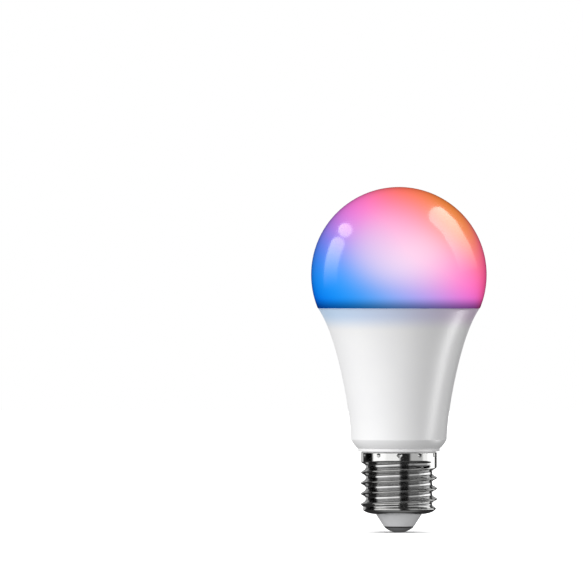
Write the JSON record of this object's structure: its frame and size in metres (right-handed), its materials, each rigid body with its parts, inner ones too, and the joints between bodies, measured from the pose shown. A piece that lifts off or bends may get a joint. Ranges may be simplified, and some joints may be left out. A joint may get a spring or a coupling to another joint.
{
  "type": "smart light bulb",
  "caption": "Screw-cap smart LED light bulb with an opal globe, a flared white housing, a colour and white LED board, a radio module and a driver inside.",
  "frame": {"origin": "centre of the flat tip of the centre contact, on the bulb's axis", "axes": "+Z along the bulb's axis from the contact to the top of the globe; the driver board stands across X, facing -Y, and a crest of the thread crosses +X at Z = 15.2 mm"},
  "size_m": [0.06, 0.06, 0.118],
  "materials": {
    "opal_globe": "satin",
    "white_housing": "satin",
    "silicone": "satin",
    "aluminium": "satin",
    "thermal_pad": "matte",
    "white_board": "satin",
    "warm_led": "satin",
    "cool_led": "satin",
    "colour_led": "satin",
    "steel": "satin",
    "green_board": "satin",
    "tinned_can": "satin",
    "copper": "satin",
    "black_plastic": "satin",
    "gilt_pins": "gloss",
    "liner": "matte",
    "capacitor_sleeve": "gloss",
    "ferrite": "matte",
    "bobbin": "satin",
    "winding_tape": "gloss",
    "enamelled_wire": "gloss",
    "film_case": "gloss",
    "resistor_body": "satin",
    "red_insulation": "satin",
    "nickelled_shell": "polished",
    "cap_glass": "satin",
    "contact_metal": "satin"
  },
  "bodies": {
    "root": {"diffuser_globe": "opal_globe", "globe_seal": "silicone", "housing": "white_housing", "heat_sink_cup": "aluminium", "spreader_plate": "aluminium", "thermal_pad": "thermal_pad", "led_board": "white_board", "warm_white_leds": "warm_led", "cool_white_leds": "cool_led", "colour_leds": "colour_led", "board_screws": "steel", "radio_board": "green_board", "radio_shield": "tinned_can", "radio_antenna": "copper", "header_block": "black_plastic", "header_pins": "gilt_pins", "insulating_liner": "liner", "driver_board": "green_board", "mains_capacitor": "capacitor_sleeve", "output_capacitor": "capacitor_sleeve", "transformer_core": "ferrite", "transformer_bobbin": "bobbin", "transformer_winding": "winding_tape", "filter_choke": "ferrite", "choke_winding": "enamelled_wire", "film_capacitor": "film_case", "fusible_resistor": "resistor_body", "bridge_rectifier": "black_plastic", "power_chip": "black_plastic", "dimming_chip": "black_plastic", "chip_resistors": "black_plastic", "live_lead": "red_insulation", "neutral_lead": "steel", "screw_shell": "nickelled_shell", "cap_insulator": "cap_glass", "centre_contact": "contact_metal"}
  },
  "joints": []
}
